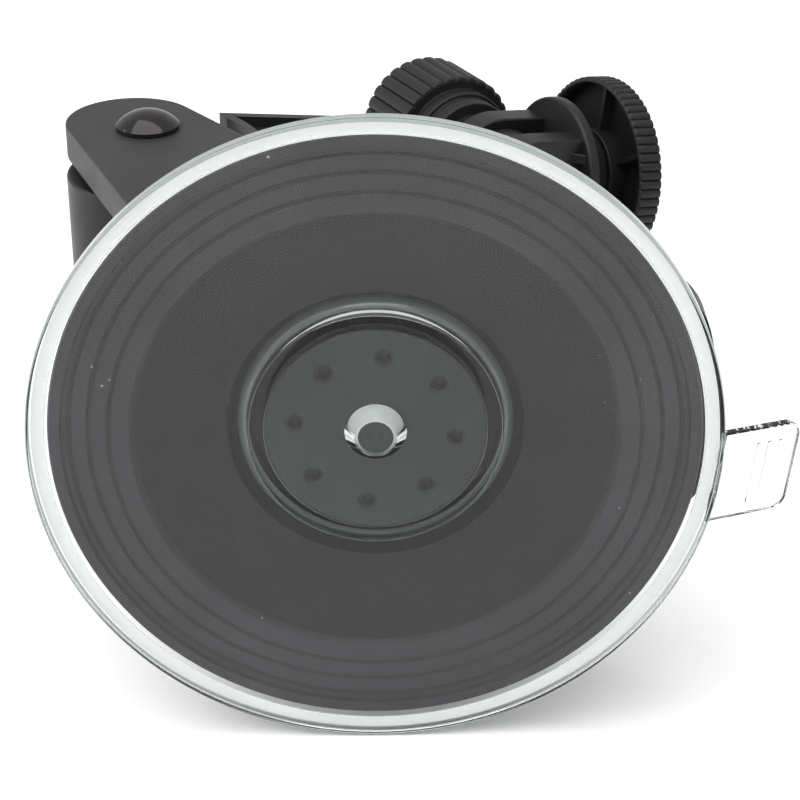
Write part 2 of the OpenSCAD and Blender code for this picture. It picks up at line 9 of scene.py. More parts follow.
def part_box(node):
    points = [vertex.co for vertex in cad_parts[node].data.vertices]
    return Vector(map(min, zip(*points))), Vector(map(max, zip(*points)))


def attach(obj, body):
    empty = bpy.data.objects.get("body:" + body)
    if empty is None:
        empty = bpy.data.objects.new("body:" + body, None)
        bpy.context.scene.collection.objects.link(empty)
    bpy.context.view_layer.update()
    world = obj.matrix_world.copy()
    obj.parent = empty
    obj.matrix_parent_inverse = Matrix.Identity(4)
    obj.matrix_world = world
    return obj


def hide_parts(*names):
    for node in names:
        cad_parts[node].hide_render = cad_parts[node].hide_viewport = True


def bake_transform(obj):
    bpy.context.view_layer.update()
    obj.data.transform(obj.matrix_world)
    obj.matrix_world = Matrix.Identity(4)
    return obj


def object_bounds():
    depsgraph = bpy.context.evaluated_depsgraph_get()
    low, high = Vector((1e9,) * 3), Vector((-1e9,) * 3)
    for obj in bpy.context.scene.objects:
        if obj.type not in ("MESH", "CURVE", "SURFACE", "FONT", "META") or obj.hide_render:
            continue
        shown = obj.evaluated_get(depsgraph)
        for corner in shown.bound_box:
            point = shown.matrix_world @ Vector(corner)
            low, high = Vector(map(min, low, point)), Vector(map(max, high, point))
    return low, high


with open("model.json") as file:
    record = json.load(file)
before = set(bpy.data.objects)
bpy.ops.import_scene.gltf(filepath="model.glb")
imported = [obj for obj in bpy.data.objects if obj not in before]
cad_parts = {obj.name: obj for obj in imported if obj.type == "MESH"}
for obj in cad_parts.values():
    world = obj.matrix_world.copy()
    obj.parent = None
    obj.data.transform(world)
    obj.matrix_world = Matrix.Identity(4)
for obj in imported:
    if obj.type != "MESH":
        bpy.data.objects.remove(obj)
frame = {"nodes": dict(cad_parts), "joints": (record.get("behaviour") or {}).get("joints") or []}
cad_low, cad_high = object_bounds()

MM = 0.001
TAU = 2 * math.pi
JOINTS = {j["name"]: j for j in frame["joints"]}

# Places and directions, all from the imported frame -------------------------

pivot = Vector(JOINTS["arm_swing"]["pos_m"])
hinge = Vector(JOINTS["head_tilt"]["pos_m"])
hinge_axis = Vector(JOINTS["head_tilt"]["axis"]).normalized()
head_line = Vector(JOINTS["wheel_turn"]["axis"]).normalized()
lever_pivot = Vector(JOINTS["lever_open"]["pos_m"])
arm_line = Vector((hinge.x - pivot.x, hinge.y - pivot.y, 0)).normalized()
cup_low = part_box("suction_membrane")[0]
CUP_R = -cup_low.z / MM
PIN_Y = lever_pivot.y / MM


def axes_matrix(origin, x_axis, y_axis):
    """Matrix of a frame from its origin and two of its unit axes."""
    z_axis = x_axis.cross(y_axis)
    m = Matrix((x_axis, y_axis, z_axis)).transposed().to_4x4()
    m.translation = origin
    return m


WORLD = Matrix.Identity(4)
CUP = Matrix.Rotation(-math.pi / 2, 4, "X")          # local z runs along +Y
ARM = axes_matrix(pivot, arm_line, -hinge_axis)      # x along the arm, z up
HEAD = axes_matrix(hinge, head_line, -hinge_axis)    # x along the head
HEAD_AXIS = HEAD @ Matrix.Rotation(math.pi / 2, 4, "Y")    # local z along the head
KNOB_AXIS = HEAD @ Matrix.Rotation(-math.pi / 2, 4, "X")   # local z towards the knob
PIVOT = Matrix.Translation(pivot)                    # z up through the arm's pivot
UPRIGHT = Matrix.Rotation(math.pi / 2, 4, "X")       # stands a flat outline up on its edge
ALONG_X = Matrix.Rotation(math.pi / 2, 4, "Y")       # turned parts along the head's x
TOWARDS_KNOB = Matrix.Rotation(-math.pi / 2, 4, "X")
FAR = 20                                             # past any piece, for cutting tools

# Mesh making, in millimetres ----------------------------------------------


def to_object(bm, name="part"):
    """A linked object from a bmesh, its normals made to point outward."""
    mesh = bpy.data.meshes.new(name)
    bmesh.ops.recalc_face_normals(bm, faces=bm.faces)
    bm.to_mesh(mesh)
    bm.free()
    obj = bpy.data.objects.new(name, mesh)
    bpy.context.scene.collection.objects.link(obj)
    return obj


def bake_modifiers(obj):
    """Replaces an object's mesh by the one its modifiers give."""
    bpy.context.view_layer.update()
    graph = bpy.context.evaluated_depsgraph_get()
    mesh = bpy.data.meshes.new_from_object(obj.evaluated_get(graph))
    obj.modifiers.clear()
    obj.data = mesh
    return obj


def boolean(base, others, operation):
    """Applies exact booleans to a mesh, one after another, and uses up the others."""
    for other in others:
        mod = base.modifiers.new("cut", "BOOLEAN")
        mod.operation = operation
        mod.solver = "EXACT"
        mod.object = other
        bake_modifiers(base)
        bpy.data.objects.remove(other)
    return base


def union(base, *others):
    return boolean(base, others, "UNION")


def cut(base, *others):
    return boolean(base, others, "DIFFERENCE")


def common(base, *others):
    return boolean(base, others, "INTERSECT")


def bevel(obj, width, segments=3, angle=30):
    """Rounds the edges that are sharper than an angle in degrees."""
    mod = obj.modifiers.new("bevel", "BEVEL")
    mod.width = width
    mod.segments = segments
    mod.limit_method = "ANGLE"
    mod.angle_limit = math.radians(angle)
    return bake_modifiers(obj)


def joined(objects):
    """One mesh from several separate ones."""
    bm = bmesh.new()
    for obj in objects:
        bm.from_mesh(obj.data)
        bpy.data.objects.remove(obj)
    return to_object(bm)


def turned(obj, matrix):
    """Moves an object's mesh, still in millimetres."""
    obj.data.transform(matrix)
    return obj


def rounded(points, steps=5):
    """A polyline whose corners (r, z, radius) become arcs; plain (r, z) points stay sharp."""
    out = []
    for i, p in enumerate(points):
        radius = p[2] if len(p) > 2 else 0
        if not radius or i in (0, len(points) - 1):
            out.append((p[0], p[1]))
            continue
        here = Vector(p[:2])
        before = Vector(points[i - 1][:2]) - here
        after = Vector(points[i + 1][:2]) - here
        half = before.angle(after) / 2
        run = min(radius / math.tan(half), before.length * 0.49, after.length * 0.49)
        start, end = here + before.normalized() * run, here + after.normalized() * run
        centre = here + (before.normalized() + after.normalized()).normalized() * (
            run / math.cos(half))
        a, b = start - centre, end - centre
        sweep = a.angle_signed(b)
        for k in range(steps + 1):
            turn = Matrix.Rotation(-sweep * k / steps, 2)
            out.append(tuple(centre + turn @ a))
    return out


def arc(cx, cy, r, start, end, steps):
    """Points of an arc, angles in degrees."""
    turns = [math.radians(start + (end - start) * i / steps) for i in range(steps + 1)]
    return [(cx + r * math.cos(t), cy + r * math.sin(t)) for t in turns]


def rounded_box(width, depth, corner, centre=(0, 0), steps=6):
    """A rectangle's outline with arcs for corners."""
    x, y = centre
    w, d = width / 2 - corner, depth / 2 - corner
    out = []
    for sx, sy, start in ((1, -1, -90), (1, 1, 0), (-1, 1, 90), (-1, -1, 180)):
        out += arc(x + sx * w, y + sy * d, corner, start, start + 90, steps)
    return out


def lathe(profile, steps=192, lobes=0, depth=0.0, closed=True):
    """Turns a profile of (r, z) or (r, z, share of the flutes) about z."""
    bm = bmesh.new()
    rings = []
    for p in profile:
        r, z = p[0], p[1]
        share = p[2] if len(p) > 2 else 0
        if r < 1e-6:
            rings.append([bm.verts.new((0, 0, z))])
            continue
        ring = []
        for i in range(steps):
            a = TAU * i / steps
            u = 2 * ((i * lobes / steps) % 1) - 1 if lobes else 0
            here = r - share * depth * (1 - math.sqrt(max(0, 1 - u * u)))
            ring.append(bm.verts.new((here * math.cos(a), here * math.sin(a), z)))
        rings.append(ring)
    pairs = list(zip(rings, rings[1:]))
    if closed and len(rings[0]) > 1:
        pairs.append((rings[-1], rings[0]))
    for a, b in pairs:
        for i in range(steps):
            j = (i + 1) % steps
            if len(a) == 1 and len(b) == 1:
                break
            if len(a) == 1:
                bm.faces.new((a[0], b[i], b[j]))
            elif len(b) == 1:
                bm.faces.new((a[i], b[0], a[j]))
            else:
                bm.faces.new((a[i], b[i], b[j], a[j]))
    return to_object(bm)


def slab(outline, low, high, edge=0.0, steps=3):
    """A prism on a flat outline between two heights, its top and bottom edges rounded."""
    points = [Vector(p) for p in outline]
    n = len(points)
    area = sum(points[i - 1].cross(points[i]) for i in range(n))
    if area < 0:
        points.reverse()
    inward = []
    for i in range(n):
        before = (points[i] - points[i - 1]).normalized()
        after = (points[(i + 1) % n] - points[i]).normalized()
        a, b = Vector((-before.y, before.x)), Vector((-after.y, after.x))
        inward.append((a + b) / (1 + a.dot(b)))
    rounds = [math.pi / 2 * k / steps for k in range(steps + 1)] if edge else [math.pi / 2]
    levels = [(edge * (1 - math.sin(t)), low + edge * (1 - math.cos(t))) for t in rounds]
    levels += [(inset, low + high - z) for inset, z in reversed(levels)]
    bm = bmesh.new()
    rings = [[bm.verts.new((*(p + m * inset), z)) for p, m in zip(points, inward)]
             for inset, z in levels]
    bm.faces.new(rings[0])
    bm.faces.new(rings[-1])
    for a, b in zip(rings, rings[1:]):
        for i in range(n):
            j = (i + 1) % n
            bm.faces.new((a[i], a[j], b[j], b[i]))
    return to_object(bm)


def rod(r, low, high, steps=96, edge=0.0):
    """A cylinder with rounded end edges, by turning."""
    return lathe(rounded([(0, low), (r, low, edge), (r, high, edge), (0, high)], 3), steps)


def ring(r_in, r_out, low, high, edge=0.12, steps=128):
    """A flat ring with rounded edges, by turning."""
    corner = min(edge, (high - low) * 0.45)
    profile = rounded(
        [((r_in + r_out) / 2, low), (r_out, low, corner), (r_out, high, corner),
         (r_in, high, corner), (r_in, low, corner), ((r_in + r_out) / 2, low)], 3)
    return lathe(profile[:-1], steps)


def hexagon(r, low, high, edge=0.0):
    """A hexagonal prism of a radius across its corners."""
    return slab(arc(0, 0, r, 0, 300, 5), low, high, edge)


def hex_head(r, low, high, chamfer=0.45):
    """A hexagon whose corners are turned down, as on a nut or a bolt's head."""
    flats = r * math.cos(math.pi / 6)
    cone = lathe([(0, low), (flats, low), (r + 0.02, low + chamfer),
                  (r + 0.02, high - chamfer), (flats, high), (0, high)], 96)
    return common(hexagon(r, low, high), cone)


CREST_FLAT = 1.25    # over 1, a thread's crest is flat
TIP_DROP = 1.2       # how far the last turn sinks, in thread depths


def thread(r, depth, pitch, low, high, steps=64, per_turn=10):
    """A screw thread as a cylinder whose radius follows a helix."""
    bm = bmesh.new()
    count = int((high - low) / pitch * per_turn)
    rings = []
    for k in range(count + 1):
        z = low + (high - low) * k / count
        fade = min(1, (high - z) / pitch)
        row = []
        for i in range(steps):
            phase = ((z - low) / pitch - i / steps) % 1
            groove = abs(2 * phase - 1)
            cut_in = depth * (1 - min(1, groove * CREST_FLAT))
            here = r - max(cut_in, (1 - fade) * depth * TIP_DROP)
            a = TAU * i / steps
            row.append(bm.verts.new((here * math.cos(a), here * math.sin(a), z)))
        rings.append(row)
    for a, b in zip(rings, rings[1:]):
        for i in range(steps):
            j = (i + 1) % steps
            bm.faces.new((a[i], a[j], b[j], b[i]))
    bm.faces.new(rings[0][::-1])
    bm.faces.new(rings[-1])
    return to_object(bm)


# Materials ----------------------------------------------------------------


class Nodes:
    """Short calls for building one node material."""

    def __init__(self, name):
        self.material = bpy.data.materials.new(name)
        self.material.use_nodes = True
        self.tree = self.material.node_tree
        self.shader = self.tree.nodes["Principled BSDF"]
        self.place = self.add("ShaderNodeTexCoord").outputs["Object"]

    def add(self, kind, **settings):
        node = self.tree.nodes.new(kind)
        for key, value in settings.items():
            setattr(node, key, value)
        return node

    def join(self, source, target):
        self.tree.links.new(source, target)

    def noise(self, scale, detail=3.0, rough=0.5):
        node = self.add("ShaderNodeTexNoise")
        node.inputs["Scale"].default_value = scale
        node.inputs["Detail"].default_value = detail
        node.inputs["Roughness"].default_value = rough
        self.join(self.place, node.inputs["Vector"])
        return node.outputs["Fac"]

    def cells(self, scale):
        node = self.add("ShaderNodeTexVoronoi")
        node.inputs["Scale"].default_value = scale
        self.join(self.place, node.inputs["Vector"])
        return node

    def ramp(self, source, low, high, colour_a, colour_b):
        node = self.add("ShaderNodeValToRGB")
        first, last = node.color_ramp.elements
        first.position, first.color = low, (*colour_a, 1)
        last.position, last.color = high, (*colour_b, 1)
        self.join(source, node.inputs["Fac"])
        return node.outputs["Color"]

    def span(self, source, low, high, start=0.0, end=1.0):
        """Maps values from start to end onto low to high."""
        node = self.add("ShaderNodeMapRange")
        node.inputs["From Min"].default_value = start
        node.inputs["From Max"].default_value = end
        node.inputs["To Min"].default_value = low
        node.inputs["To Max"].default_value = high
        self.join(source, node.inputs["Value"])
        return node.outputs["Result"]

    def mix(self, factor, a, b):
        node = self.add("ShaderNodeMix", data_type="RGBA")
        self.join(factor, node.inputs["Factor"])
        for source, socket in ((a, node.inputs["A"]), (b, node.inputs["B"])):
            if isinstance(source, tuple):
                socket.default_value = (*source, 1)
            else:
                self.join(source, socket)
        return node.outputs["Result"]

    def radius(self):
        """Distance from the cup's axis, in metres."""
        flat = self.add("ShaderNodeVectorMath", operation="MULTIPLY")
        flat.inputs[1].default_value = (1, 0, 1)
        self.join(self.place, flat.inputs[0])
        far = self.add("ShaderNodeVectorMath", operation="LENGTH")
        self.join(flat.outputs[0], far.inputs[0])
        return far.outputs["Value"]

    def shade_zone(self, low, high, below, above):
        """A factor that changes from one value to another between two radii, in mm."""
        return self.span(self.radius(), below, above, low * MM, high * MM)

    def bump(self, height, strength, distance):
        node = self.add("ShaderNodeBump")
        node.inputs["Strength"].default_value = strength
        node.inputs["Distance"].default_value = distance
        self.join(height, node.inputs["Height"])
        self.join(node.outputs["Normal"], self.shader.inputs["Normal"])


def tint(colour, factor):
    """A colour made lighter or darker."""
    return tuple(min(1, c * factor) for c in colour)


DUST = (0.62, 0.62, 0.6)
# near black used for painted shade
RECESS_SHADE_BLACK = (0.004, 0.004, 0.006)


def moulded(name, colour, rough=0.5, grain=2600, depth=0.00004, dust=0.0, spread=0.2,
            shine=0.3, shade_zone=None):
    """Moulded plastic: a fine spark-eroded grain, uneven gloss and a little dust; with a shade zone,
    painted shade that darkens the colour inside a radius.
    """
    m = Nodes(name)
    m.shader.inputs["Specular IOR Level"].default_value = shine
    cloud = m.noise(60, 4)
    base = m.ramp(cloud, 0.3, 0.7, tint(colour, 1 - spread), tint(colour, 1 + spread))
    if dust:
        speck = m.cells(520)
        spot = m.ramp(speck.outputs["Distance"], 0.05, 0.09, (1, 1, 1), (0, 0, 0))
        rare = m.ramp(m.noise(140, 1), 0.6, 0.66, (0, 0, 0), (dust, dust, dust))
        both = m.add("ShaderNodeMath", operation="MULTIPLY")
        m.join(spot, both.inputs[0])
        m.join(rare, both.inputs[1])
        base = m.mix(both.outputs[0], base, DUST)
    # painted shade: the colour goes towards near black inside the zone's radius, for shade in a recess
    if shade_zone:
        base = m.mix(m.shade_zone(*shade_zone), base, RECESS_SHADE_BLACK)
    m.join(base, m.shader.inputs["Base Color"])
    m.join(m.span(m.noise(190, 3), rough - 0.07, rough + 0.09), m.shader.inputs["Roughness"])
    m.bump(m.noise(grain, 2, 0.6), 0.5, depth)
    return m.material


def metal(name, colour, rough=0.28, brush=900):
    """Plated steel or brass with fine turning marks."""
    m = Nodes(name)
    m.shader.inputs["Metallic"].default_value = 1
    cloud = m.noise(140, 4)
    m.join(m.ramp(cloud, 0.3, 0.75, tint(colour, 0.82), colour), m.shader.inputs["Base Color"])
    m.join(m.span(m.noise(420, 3), rough - 0.08, rough + 0.12), m.shader.inputs["Roughness"])
    m.bump(m.noise(brush, 3, 0.7), 0.35, 0.00001)
    return m.material


def clear_soft(name, colour=(0.965, 0.98, 0.974)):
    """Clear soft plastic: smooth and very slightly green."""
    m = Nodes(name)
    m.shader.inputs["Transmission Weight"].default_value = 1
    m.shader.inputs["IOR"].default_value = 1.46
    m.shader.inputs["Specular Tint"].default_value = (0.5, 0.5, 0.5, 1)
    cloud = m.noise(45, 2)
    m.join(m.ramp(cloud, 0.3, 0.7, tint(colour, 0.99), colour), m.shader.inputs["Base Color"])
    m.join(m.span(m.noise(260, 2), 0.0, 0.012), m.shader.inputs["Roughness"])
    return m.material


def lit_from_above(name, colour, shade, low, high):
    """Painted light and shade: pale on the upper side and dark below, between two heights, as if lit from
    above.
    """
    m = Nodes(name)
    split = m.add("ShaderNodeSeparateXYZ")
    m.join(m.place, split.inputs["Vector"])
    # painted light and shade: dark below, pale above, by height
    height = m.span(split.outputs["Z"], 0, 1, low * MM, high * MM)
    painted_bright = m.ramp(m.noise(160, 3), 0.3, 0.7, tint(colour, 0.95), colour)
    m.join(m.mix(height, shade, painted_bright), m.shader.inputs["Base Color"])
    m.join(m.span(m.noise(420, 2), 0.2, 0.32), m.shader.inputs["Roughness"])
    m.bump(m.noise(900, 2), 0.2, 0.00001)
    return m.material


def painted_glow(name, colour, light):
    """Painted glow: a pale colour that also emits light, standing in for light caught in a clear
    moulding.
    """
    m = Nodes(name)
    painted_bright = m.ramp(m.noise(160, 3), 0.3, 0.7, tint(colour, 0.95), colour)
    m.join(painted_bright, m.shader.inputs["Base Color"])
    m.join(painted_bright, m.shader.inputs["Emission Color"])
    # painted glow: the surface emits light though it is no lamp
    m.shader.inputs["Emission Strength"].default_value = light
    m.join(m.span(m.noise(420, 2), 0.3, 0.45), m.shader.inputs["Roughness"])
    m.bump(m.noise(900, 2), 0.2, 0.00001)
    return m.material


def gloss_black(name):
    """Black lacquered steel, as on a domed pin."""
    m = Nodes(name)
    m.join(m.ramp(m.noise(300, 3), 0.3, 0.7, (0.006, 0.004, 0.004), (0.012, 0.008, 0.008)),
           m.shader.inputs["Base Color"])
    m.join(m.span(m.noise(700, 3), 0.08, 0.16), m.shader.inputs["Roughness"])
    m.shader.inputs["Specular IOR Level"].default_value = 0.4
    m.bump(m.noise(1200, 2), 0.2, 0.00001)
    return m.material


CLEAR = clear_soft("clear_soft_plastic")
# painted shade: a darker grey-green clear for the rim's outer edge
EDGE_PAINTED_SHADE = clear_soft("clear_rim_painted_shade", (0.3, 0.36, 0.355))
# painted glow on the rim's back band: pale and emitting, for the light seen in the clear rim
RIM_PAINTED_GLOW = painted_glow("rim_painted_glow", (0.93, 0.94, 0.935), 0.25)
# painted light on the nub: pale on top, dark below
NUB_PAINTED_LIGHT = lit_from_above("nub_painted_light", (0.86, 0.9, 0.87), (0.05, 0.055, 0.052), -2.5, -0.5)
# painted reflection: an opaque grey on the clear bead stands in for light reflected inside it
BEAD_PAINTED_REFLECTION = moulded("bead_painted_reflection", (0.13, 0.15, 0.155), 0.17, 900, 0.00001, shine=0.8)
PULLER = moulded("puller_plastic", (0.036, 0.04, 0.043), 0.5, 3000, 0.000005)
# housing: real dust specks, and painted shade darkening the recess inside a radius of about 24.5 mm
HOUSING = moulded("housing_plastic", (0.05, 0.049, 0.056), 0.6, 3200, 0.000004, dust=0.8,
                  shade_zone=(24.4, 24.7, 0.82, 0.0))
BRACKET = moulded("bracket_plastic", (0.022, 0.0215, 0.024), 0.5, 3000, 0.00004)
ARM_BLACK = moulded("arm_plastic", (0.009, 0.009, 0.009), 0.42, 2400, 0.00003)
KNOB_BLACK = moulded("knob_plastic", (0.009, 0.008, 0.008), 0.46, 2200, 0.00004)
LEVER_BLACK = moulded("lever_plastic", (0.012, 0.012, 0.013), 0.44, 2600, 0.00004)
NYLON = moulded("washer_nylon", (0.6, 0.6, 0.56), 0.4, 1800, 0.00002, spread=0.06)
RUBBER = moulded("pad_rubber", (0.013, 0.013, 0.013), 0.75, 1500, 0.00006)
STEEL = metal("plated_steel", (0.6, 0.61, 0.63))
SPRING_STEEL = metal("spring_steel", (0.52, 0.52, 0.54), 0.24)
BRASS = metal("insert_brass", (0.72, 0.53, 0.24), 0.3)
PIN_BLACK = gloss_black("pin_black")

# Pieces -------------------------------------------------------------------


def piece(obj, name, matrix, material, body, nodes=(), smooth=35):
    """Puts a part made in millimetres into the frame, shades it and says what it is."""
    obj.name = name
    obj.data.transform(matrix @ Matrix.Diagonal((MM, MM, MM, 1)))
    obj.data.materials.clear()
    obj.data.materials.append(material)
    obj.data.polygons.foreach_set("use_smooth", [True] * len(obj.data.polygons))
    obj.data.set_sharp_from_angle(angle=math.radians(smooth))
    mod = obj.modifiers.new("normals", "WEIGHTED_NORMAL")
    mod.keep_sharp = True
    bake_modifiers(obj)
    if body:
        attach(obj, body)
    if nodes:
        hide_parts(*nodes)
    return obj


# Suction membrane: rim, web, hub boss with the nub's pocket, and the pull tab
DISH = 3.0
LAND_R = CUP_R - 3.4
HUB_R = 13.2
BOSS_R = 14.2
BOSS_BEAD = 1.4
BOSS_NECK = BOSS_R - BOSS_BEAD
BOSS_BACK = 8.4
BOSS_MOUTH_R = 8.5
BEAD_Y = 5.7
# radii of the rim's painted glow band
GLOW_IN_R, GLOW_OUT_R = CUP_R - 1.72, CUP_R - 0.5
EDGE_R = CUP_R - 0.36
SKIN_T = 1.5
RIM_T = 1.9
NUB_R = 3.1
NUB_TOP_R = 1.95
NUB_H = 1.1
NUB_LEAN = 0.45
DISC_FRONT = DISH + 1.6
DISC_BACK = DISC_FRONT + 2.2
DISC_R = 11.4
DISC_GAP = 0.05
TAB_W = 10.2
TAB_LEN = 10.5
TAB_T = 1.2
TAB_ROOT = CUP_R - 1
TAB_START = 0.65
TAB_CORNER = 1.6
TAB_RIB_W = 0.5
TAB_RIB_PITCH = 1.4
TAB_RIB_SHORT = 3.2
TAB_ANGLE = math.radians(6.6)
TAB_BEND = math.radians(28.4)


def dish(r):
    """Depth of the membrane's front face, a smooth S between hub and rim."""
    share = min(1, max(0, (r - HUB_R) / (LAND_R - HUB_R)))
    return DISH * (1 + math.cos(math.pi * share)) / 2


def membrane_profile():
    front = [(0, DISH)] + [(r, DISH) for r in (1.5, 3, 5, 7, 9, 11, 12.4)]
    front += [(r, dish(r)) for r in (HUB_R + (LAND_R - HUB_R) * i / 40 for i in range(41))]
    rim = rounded([(CUP_R - 1.5, 0), (CUP_R, 0, 0.3), (CUP_R, RIM_T, 0.45),
                   (CUP_R - 1.7, RIM_T, 0.1), (CUP_R - 1.9, SKIN_T + 0.02, 0.1),
                   (LAND_R + 0.5, SKIN_T)])
    back = [BOSS_NECK + (LAND_R - BOSS_NECK) * i / 40 for i in range(40, 0, -1)]
    back = [(r, dish(r) + SKIN_T) for r in back]
    boss = rounded([back[-1], (BOSS_NECK, DISH + SKIN_T, 0.25), (BOSS_NECK + 0.3, 5.66)])
    boss += arc(BOSS_NECK, BOSS_BACK - BOSS_BEAD, BOSS_BEAD, -70, 90, 16)
    mouth = rounded([boss[-1], (BOSS_MOUTH_R, BOSS_BACK, 0.3), (BOSS_MOUTH_R, DISC_BACK)])
    nub_y = DISC_FRONT - NUB_H - DISC_GAP
    pocket = rounded([(BOSS_MOUTH_R, DISC_BACK), (DISC_R + DISC_GAP, DISC_BACK, 0.15),
                      (DISC_R + DISC_GAP, DISC_FRONT, 0.15), (NUB_R + 0.1, DISC_FRONT, 0.1),
                      (NUB_TOP_R + 0.2, nub_y + 0.1, 0.1), (NUB_TOP_R, nub_y, 0.05), (0, nub_y)])
    return front + rim + back[:-1] + boss + mouth[1:] + pocket[1:]


def lean(obj):
    """Leans the centre nub, or its pocket, a little downward towards its tip."""
    for v in obj.data.vertices:
        if DISH + 0.3 < v.co.z < DISC_FRONT and math.hypot(v.co.x, v.co.y) < NUB_R + 0.15:
            v.co.y += NUB_LEAN * (DISC_FRONT - v.co.z) / NUB_H
    return obj


def pull_tab():
    """The tab with its three grip ribs, bent back from the rim."""
    half = TAB_W / 2
    x, y = TAB_LEN - TAB_CORNER, half - TAB_CORNER
    outline = [(TAB_START, -half)] + arc(x, -y, TAB_CORNER, -90, 0, 6)
    outline += arc(x, y, TAB_CORNER, 0, 90, 6) + [(TAB_START, half)]
    tab = slab(outline, 0, TAB_T, 0.3)
    ribs = [slab(rounded_box(TAB_RIB_W, TAB_W - TAB_RIB_SHORT, 0.2,
                             (TAB_LEN - 4 + i * TAB_RIB_PITCH, 0)), -0.16, 0.3, 0.1)
            for i in (-1, 0, 1)]
    tab = union(tab, *ribs)
    # local z of the tab runs towards its back; x leads outward
    place = (Matrix.Rotation(TAB_ANGLE, 4, "Y") @ Matrix.Translation((TAB_ROOT, RIM_T / 2, 0))
             @ Matrix.Rotation(TAB_BEND, 4, "Z") @ Matrix.Translation((0, -TAB_T / 2, 0))
             @ Matrix.Rotation(-math.pi / 2, 4, "X"))
    return turned(tab, place)


def rim_and_bead_painted_light(obj):
    """The cup's painted light: a painted glow on the rim's back band, painted shade on the outer edge and
    a painted reflection on the boss's thick bead.
    """
    for material in (RIM_PAINTED_GLOW, EDGE_PAINTED_SHADE, BEAD_PAINTED_REFLECTION):
        obj.data.materials.append(material)
    glow_index, edge, reflection_index = 1, 2, 3
    # faces picked by radius and height get the painted glow, painted shade or painted reflection
    for face in obj.data.polygons:
        r = math.hypot(face.center.x, face.center.z) / MM
        y = face.center.y / MM
        if GLOW_IN_R < r < GLOW_OUT_R and face.normal.y > 0.7:
            face.material_index = glow_index
        elif r > EDGE_R:
            face.material_index = edge
        elif BOSS_NECK + 0.25 < r < BOSS_R + 1 and y > BEAD_Y:
            face.material_index = reflection_index


def radial_blend(obj, inner, outer):
    """Works out each vertex's share of the way between two distances from the cup's axis, and changes
    nothing.
    """
    for v in obj.data.vertices:
        t = (outer - math.hypot(v.co.x, v.co.z)) / (outer - inner)
        t = min(1, max(0, t))


cup = piece(lean(lathe(membrane_profile(), 256)), "clear_cup", CUP, CLEAR, None,
            ["suction_membrane"])
rim_and_bead_painted_light(cup)
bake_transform(cup)
radial_blend(cup, BOSS_R * MM, LAND_R * MM)
piece(pull_tab(), "pull_tab", WORLD, CLEAR, "mount", ["suction_membrane"])

# Puller disc, its stem and the nub's collar
STEM_R = 4.2
STEM_FLAT = 4.0
DIMPLE_RING_R = 8.26
DIMPLE_N = 8
DIMPLE_TURN = -6
DIMPLE_DEPTH = 1.3
PIN_R = 2.0


def puller_disc():
    face, back = DISC_FRONT + DISC_GAP, DISC_BACK - DISC_GAP
    top = DISC_FRONT - NUB_H
    disc = lathe(rounded([(0, top + 0.12), (0.5, top + 0.12), (0.6, top + 0.02), (0.75, top + 0.02),
                          (0.85, top + 0.1), (NUB_TOP_R - 0.1, top + 0.1, 0.1),
                          (NUB_TOP_R - 0.1, face), (6, face), (DISC_R, face, 0.35),
                          (DISC_R, back, 0.3), (6, back), (0, back)]), 160)
    dimples = []
    for i in range(DIMPLE_N):
        a = math.radians(DIMPLE_TURN + i * 360 / DIMPLE_N)
        floor = face + DIMPLE_DEPTH
        pit = rounded([(0, floor), (0.62, floor, 0.2), (0.74, face + 0.25, 0.1),
                       (1.15, face - 0.08), (1.15, face - 1), (0, face - 1)])
        place = Matrix.Translation((DIMPLE_RING_R * math.cos(a), -DIMPLE_RING_R * math.sin(a), 0))
        dimples.append(turned(lathe(pit, 32), place))
    disc = turned(lean(cut(disc, *dimples)), CUP)
    outline = [(STEM_R, DISC_BACK - 0.5)] + arc(0, PIN_Y, STEM_R, 0, 180, 24)
    outline += [(-STEM_R, DISC_BACK - 0.5)]
    stem = slab(outline, -STEM_FLAT, STEM_FLAT, 0.3)
    stem = common(stem, turned(rod(STEM_R, DISC_BACK - 2, PIN_Y + 6, 96), CUP))
    stem = cut(stem, turned(rod(PIN_R + 0.05, -9, 9, 48), Matrix.Translation((0, PIN_Y, 0))))
    return union(disc, stem)


def nub_collar():
    """The sides of the moulding nub at the disc's centre, with painted light above and painted shade
    below.
    """
    top = DISC_FRONT - NUB_H
    inner = NUB_TOP_R - 0.12
    return lean(lathe([(inner, DISC_FRONT + 0.1), (NUB_R, DISC_FRONT + 0.1),
                       (NUB_R - 0.06, DISC_FRONT), (2.6, 4.1), (2.12, 3.62), (NUB_TOP_R, top),
                       (inner, top + 0.02)], 96))


piece(puller_disc(), "puller", WORLD, PULLER, "puller", ["puller_disc"],
      smooth=24)
piece(nub_collar(), "puller_nub", CUP, NUB_PAINTED_LIGHT, "puller", ["puller_disc"])

# Housing: shell with grooves in front and ribs behind, well, tower and foot
HOUSING_R = 33.0
WELL_R = 15.2
WELL_FLOOR = 9.0
TOWER_R = 17.6
TOWER_TOP = 12.2
RECESS_R = 24.9
ANNULUS_Y = 2.6
SHELL_BACK = 7.8
RIM_FRONT, RIM_BACK = 2.02, 4.8
GROOVES = (27, 29, 30.9)
GROOVE_W = 0.24
GROOVE_DEPTH = 0.4
RIBS = 16
RIB_T = 1.2
RIB_TOP = 10.4
FOOT_X = (-21.5, 13.0)
EAR_TOP = 14.2
FOOT_CORNER = 2.4
SEAT_R = 7.6
SEAT_Y = 10.9
SCREW_X, SCREW_Z = 4.6, 11.4
SCREW_HEAD_R = 2.3
SCREW_SEAT = 10.4


def foot(low, high, edge):
    """The raised foot: a block joined with the round tower."""
    middle = (FOOT_X[0] + FOOT_X[1]) / 2
    block = rounded_box(FOOT_X[1] - FOOT_X[0], 2 * EAR_TOP, FOOT_CORNER, (middle, 0))
    return union(slab(block, low, high, edge), rod(TOWER_R, low, high, 144, edge))


